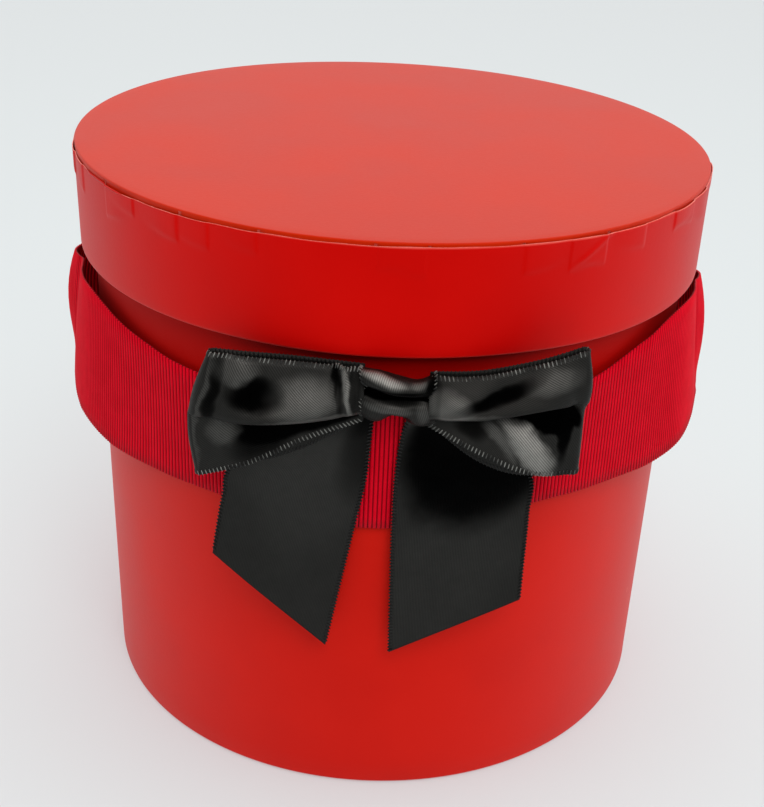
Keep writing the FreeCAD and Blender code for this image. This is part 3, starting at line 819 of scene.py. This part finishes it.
# Dents and ridges of the loops' front: place as shares of the way out and down, half lengths,
# turn in degrees, and millimetres forward
LOOP_DENTS = {
    -1: [(0.155, 0.14, 0.030, 0.22, 8, -2.4), (0.105, 0.16, 0.024, 0.26, 8, 1.5), (0.05, 0.18, 0.04, 0.3, 0, -1.2),
         (0.62, 0.22, 0.13, 0.09, -20, -2.2), (0.36, 0.26, 0.16, 0.10, 15, 0.9), (0.88, 0.26, 0.05, 0.3, 0, -1.4),
         (0.78, 0.08, 0.10, 0.06, 0, 0.8), (0.80, 0.74, 0.12, 0.14, 0, 1.2)],
    1: [(0.05, 0.22, 0.05, 0.3, 0, -1.0), (0.42, 0.20, 0.30, 0.07, -40, -2.0), (0.18, 0.22, 0.14, 0.14, -30, 1.0),
        (0.80, 0.18, 0.14, 0.10, 0, 0.8), (0.93, 0.5, 0.03, 0.4, 0, -1.2), (0.62, 0.84, 0.22, 0.07, 35, 1.0)],
}


def loop_front(side, out):
    """Section of a loop's front ply at a share of the way out: six places as (forward, height)."""
    station = {key: through([[value] for value in values], out)[0] for key, values in LOOP_STATIONS[side].items()}
    top, pleat, bottom, hollow = station["top"], station["pleat"], station["bottom"], station["hollow"]
    behind = pleat + 0.10 * (station["overhang"] - hollow)
    return [(3.0, top), (station["belly"], 0.42 * top + 0.58 * pleat), (station["overhang"], pleat),
            (hollow, behind), (0.5 * (hollow + station["lip"]), 0.5 * (behind + bottom)), (station["lip"], bottom)]


def loop_end(side, height_share):
    """How far out the loop's fold reaches, bottom to top, in millimetres."""
    reach = [[50.8], [52.2], [50.4], [46.4]] if side < 0 else [[52.8], [53.2], [53.6], [52.8]]
    return through(reach, height_share)[0]


def bow_loop(name, side, material):
    """Front ply, rolled outer fold and back ply of one loop."""
    knot_x = -5.6 if side < 0 else 11.6
    grid, stations = [], []
    shares = np.linspace(0, 1, 27)
    outs = [("front", out) for out in np.linspace(0, FOLD_FROM, FRONT_ROWS)]
    outs += [("fold", turn) for turn in np.linspace(0, math.pi, FOLD_ROWS + 2)[1:-1]]
    outs += [("back", out) for out in np.linspace(FOLD_FROM, 0, BACK_ROWS)]
    for part, value in outs:
        row = []
        out = FOLD_FROM if part == "fold" else value
        section = loop_front(side, out)
        drop = through([[value] for value in LOOP_STATIONS[side]["behind"]], out)[0]
        for share in shares:
            forward, height = through(section, share)
            forward += sum(dent[-1] * math.exp(-in_patch(dent, out, share)) for dent in LOOP_DENTS[side])
            far = loop_end(side, 1 - share)
            x = knot_x + (side * far - knot_x) * out
            back_wave = 0.35 * math.sin(9 * out + 4 * share)
            if part == "back":
                forward = 0.1 + back_wave * out
                top, bottom = section[0][1], section[-1][1] - drop
                height = top + (bottom - top) * share + BACK_PLY_UP
            elif part == "fold":
                front_forward, back_forward = forward, 0.1 + back_wave * out
                top, bottom = section[0][1], section[-1][1]
                flat_height = top + (bottom - top) * share + BACK_PLY_UP
                mix = 0.5 - 0.5 * math.cos(value)
                half = 0.5 * abs(front_forward - back_forward)
                forward = back_forward + (front_forward - back_forward) * (1 - mix)
                height = height * (1 - mix) + flat_height * mix
                x += side * half * math.sin(value) * 0.9
            row.append((x * MM, (LOOP_BACK_Y - forward) * MM, height * MM))
        grid.append(row)
    grid = np.array(grid)
    along = run_along(grid[:, len(shares) // 2])
    piece = cloth_mesh(name, grid, along, (0.5 - shares) * RIBBON_WIDE * side, material, SATIN_THICK)
    turned = FRONT_ROWS + FOLD_ROWS
    front_edges = [(grid[:turned, 0], grid[:turned, 2]), (grid[:turned, -1], grid[:turned, -3])]
    back_edges = [(grid[turned:, 0], grid[turned:, 2]), (grid[turned:, -1], grid[turned:, -3])]
    front_stitches = overlock(f"{name}_front_stitches", front_edges, grey_thread)
    back_stitches = overlock(f"{name}_back_stitches", back_edges, dark_thread_copy)
    for item in (piece, front_stitches, back_stitches):
        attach(item, "handle")
    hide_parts("bow_" + name)


# Painted highlights and painted shade of the folds: ovals as for the dents, but placed by shares of the
# whole ribbon's length and width, and last by how much lighter or darker they are
LEFT_PAINTED_GLOSS = [
    (0.085, 0.14, 0.012, 0.20, 4, -0.06), (0.056, 0.16, 0.009, 0.22, 4, 0.14), (0.025, 0.18, 0.022, 0.3, 0, -0.02),
    (0.19, 0.22, 0.12, 0.13, 10, 0.085), (0.34, 0.20, 0.08, 0.09, -15, -0.08), (0.42, 0.08, 0.07, 0.07, 0, 0.06),
    (0.475, 0.22, 0.02, 0.26, 0, -0.05), (0.14, 0.385, 0.15, 0.035, 0, 0.06), (0.18, 0.72, 0.18, 0.16, 0, -0.12),
    (0.42, 0.72, 0.045, 0.09, 0, 0.05), (0.30, 0.86, 0.10, 0.12, -8, -0.04), (0.51, 0.5, 0.012, 0.5, 0, 0.04),
]
RIGHT_PAINTED_GLOSS = [
    (0.06, 0.24, 0.08, 0.14, -15, 0.10), (0.22, 0.20, 0.17, 0.055, -36, -0.07), (0.41, 0.15, 0.09, 0.09, -8, 0.05),
    (0.40, 0.70, 0.12, 0.06, 6, -0.14), (0.465, 0.70, 0.02, 0.20, 0, -0.08), (0.35, 0.85, 0.17, 0.05, 62, 0.20),
    (0.25, 0.84, 0.12, 0.030, 62, 0.07), (0.15, 0.78, 0.05, 0.12, 0, -0.04), (0.02, 0.2, 0.02, 0.3, 0, -0.04),
    (0.10, 0.36, 0.12, 0.03, 0, 0.05),
]
bow_loop("loop_left", -1, satin_finish("satin_left", LEFT_PAINTED_GLOSS))
bow_loop("loop_right", 1, satin_finish("satin_right", RIGHT_PAINTED_GLOSS))

# The middle of the bow: a narrower band of the same satin drawn tightly over the loops, so
# that it stands in two rolls with a deep crease between them.
KNOT_WIDE = 22 * MM
KNOT_LEFT, KNOT_RIGHT = -6.9, 13.4
# (forward, height) down the band, at even stations from its left edge to its right one
KNOT_SECTIONS = [
    [(0, 149), (2.5, 150.6), (5.6, 151.4), (7.4, 150.2), (7.4, 148.2), (5.0, 146.8), (4.8, 145.4), (6.6, 143.8),
     (6.9, 141.4), (5.8, 138.6), (3.2, 137.0), (0, 138)],
    [(0, 149), (2.8, 150.6), (6.0, 151.3), (8.2, 149.9), (8.4, 147.6), (5.2, 146.0), (4.8, 144.6), (7.2, 143.0),
     (7.6, 140.6), (6.4, 137.8), (3.4, 136.4), (0, 137)],
    [(0, 148), (2.8, 149.3), (6.2, 149.9), (8.6, 148.6), (8.8, 146.4), (5.4, 145.0), (5.0, 143.8), (7.6, 142.2),
     (7.8, 140.2), (5.0, 139.4), (3.0, 138.2), (0, 138)],
    [(0, 147), (2.6, 148.2), (5.8, 149.0), (7.8, 147.8), (7.8, 146.0), (5.2, 144.8), (5.0, 143.4), (7.0, 142.0),
     (7.2, 139.6), (6.0, 136.8), (3.0, 135.4), (0, 137)],
    [(0, 148), (2.2, 149.6), (4.6, 149.4), (6.2, 147.4), (6.2, 145.2), (5.4, 143.6), (5.2, 142.0), (5.8, 140.4),
     (5.6, 138.4), (4.6, 136.0), (2.6, 134.8), (0, 136)],
]


def knot_band():
    """The gathered band over the middle, with both its ends tucked behind."""
    sections = np.array(KNOT_SECTIONS, float)
    shares = np.linspace(0, 1, 41)
    middle = 0.5 * (KNOT_LEFT + KNOT_RIGHT)
    grid = []
    for down in np.linspace(0, 1, 64):
        places = [through(section, down) for section in sections]
        tight = 1 - 0.12 * math.exp(-((down - 0.45) / 0.12) ** 2)
        row = []
        for share in shares:
            forward, height = through(places, share)
            x = middle + (KNOT_LEFT + share * (KNOT_RIGHT - KNOT_LEFT) - middle) * tight
            rounding = 2.2 * abs(2 * share - 1) ** 5
            pleat = 0.22 * math.sin(17 * share + 5 * down) * math.sin(math.pi * down)
            row.append((x * MM, (LOOP_BACK_Y - max(forward - rounding + pleat, -0.4)) * MM, height * MM))
        grid.append(row)
    grid = np.array(grid)
    along = run_along(grid[:, len(shares) // 2])
    piece = cloth_mesh("knot_band", grid, along, (shares - 0.5) * KNOT_WIDE, knot_satin, SATIN_THICK)
    stitches = overlock("knot_stitches", [(grid[:, 0], grid[:, 3]), (grid[:, -1], grid[:, -4])], grey_thread)
    for item in (piece, stitches):
        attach(item, "handle")
    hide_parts("bow_knot")


# The map's first share runs down the band here, and its second across it
# Painted highlights on the knot's rolls and painted shade in its crease, as ovals
KNOT_PAINTED_GLOSS = [
    (0.24, 0.30, 0.065, 0.28, -4, 0.17), (0.46, 0.45, 0.10, 0.9, 4, -0.30), (0.68, 0.38, 0.045, 0.30, 0, 0.06),
    (0.80, 0.55, 0.05, 0.12, 0, -0.2), (0.66, 0.86, 0.12, 0.10, 0, 0.05), (0.3, 0.95, 0.2, 0.08, 0, -0.06),
    (0.24, 0.76, 0.05, 0.10, 0, 0.06),
]
knot_satin = satin_finish("satin_knot", KNOT_PAINTED_GLOSS, 0.3)
knot_band()

# ---- Tails ---------------------------------------------------------------------------------------------
# The bow's two ends: the same satin, gathered under the middle of the bow and hanging flat in
# front of the box. Each is cut off on a slant, and swings out from just below the loops.
LEFT_INNER = [(-2.6, 137), (-3.4, 129), (-4.4, 115.4), (-7.4, 98.7), (-11.2, 78), (-14.7, 59.1)]
LEFT_OUTER = [(-8.0, 139), (-27, 131), (-41.5, 118.6), (-44.2, 108), (-45.8, 99), (-47.2, 90)]
RIGHT_INNER = [(6.8, 137), (4.8, 129), (3.6, 115), (3.5, 98), (3.8, 78), (4.2, 57)]
RIGHT_OUTER = [(11.5, 138), (27, 132), (41.0, 119.4), (41.9, 106), (42.0, 91), (41.8, 77.1)]
# How far the tails stand out from the box, top to bottom
LEFT_STAND = [98.25, 98.35, 98.3, 98.6, 99.6, 101.0]
RIGHT_STAND = [98.35, 98.4, 98.3, 97.9, 98.6, 100.4]


def bow_tail(name, side, inner, outer, stand, root, material):
    """One tail between its inner and outer edges, down to the slanting cut."""
    grid = []
    shares = np.linspace(0, 1, 33)
    for down in np.linspace(0, 1, 61):
        near, far = through(inner, down), through(outer, down)
        forward = through([[value] for value in stand], down)[0]
        row = []
        for share in shares:
            x, height = near + (far - near) * share
            free = min(1.0, max(0.0, (118 - height) / 30))
            curl = free * (0.5 * math.sin(2.6 * share + 3.0 * down + (0.6 if side > 0 else 2.0)) - 1.4 * share ** 3)
            pleats = 0.30 * math.sin(16 * share + 2 * down) * max(0.0, 1 - down / 0.28)
            row.append((x * MM, -(forward + curl + pleats) * MM, height * MM))
        grid.append(row)
    grid = np.array(grid)
    along = run_along(grid[:, len(shares) // 2])
    piece = cloth_mesh(name, grid, along, (0.5 - shares) * RIBBON_WIDE * side, material, SATIN_THICK)
    edges = [(grid[:, 0], grid[:, 2]), (grid[:, -1], grid[:, -3])]
    stitches = overlock(f"{name}_stitches", edges, dark_thread_copy, 1.1 * MM, 0.45 * MM, 0.35)
    for item in (piece, stitches):
        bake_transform(item)
    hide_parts("bow_" + name, root)


TAIL_WEAVE = 0.45 * MM
TAIL_ROUGHNESS = 0.38
# Painted sheen and painted shade on the tails, as ovals like the loops'
LEFT_TAIL_PAINTED_GLOSS = [
    (0.42, 0.45, 0.30, 0.4, 10, 0.012), (0.22, 0.06, 0.25, 0.20, 0, -0.03), (0.10, 0.5, 0.12, 0.6, 0, -0.02),
]
RIGHT_TAIL_PAINTED_GLOSS = [
    (0.30, 0.60, 0.28, 0.50, 4, -0.10), (0.06, 0.3, 0.08, 0.3, 0, 0.02), (0.8, 0.4, 0.25, 0.5, 0, 0.006),
]
left_satin = satin_finish("satin_left_tail", LEFT_TAIL_PAINTED_GLOSS, 0.0, TAIL_WEAVE, TAIL_ROUGHNESS)
right_satin = satin_finish("satin_right_tail", RIGHT_TAIL_PAINTED_GLOSS, 0.0, TAIL_WEAVE, TAIL_ROUGHNESS)
bow_tail("tail_left", -1, LEFT_INNER, LEFT_OUTER, LEFT_STAND, "bow_tail_root_left", left_satin)
bow_tail("tail_right", 1, RIGHT_INNER, RIGHT_OUTER, RIGHT_STAND, "bow_tail_root_right", right_satin)

# ---- Glue ------------------------------------------------------------------------------------------------
# Dots of clear hot glue hold the ribbon's ends to the inside of the wall and the bow to the
# ribbon; they are set hard, cloudy and a little uneven.


def glue_finish():
    """Set hot glue, cloudy and half clear."""
    glue = Finish("clear_glue", Specular_IOR_Level=0.6, Transmission_Weight=0.25, IOR=1.48)
    cloud = glue.noise(0.003, 3.0)
    tone = glue.blend(cloud.over(0.3, 0.7), (0.62, 0.60, 0.52, 1), (0.82, 0.81, 0.76, 1))
    return glue.wire(Base_Color=tone, Roughness=0.18 + 0.2 * cloud, Normal=glue.bump(0.0006, cloud))


refinish(glue_finish(), "bow_glue", "handle_glue_left", "handle_glue_right")
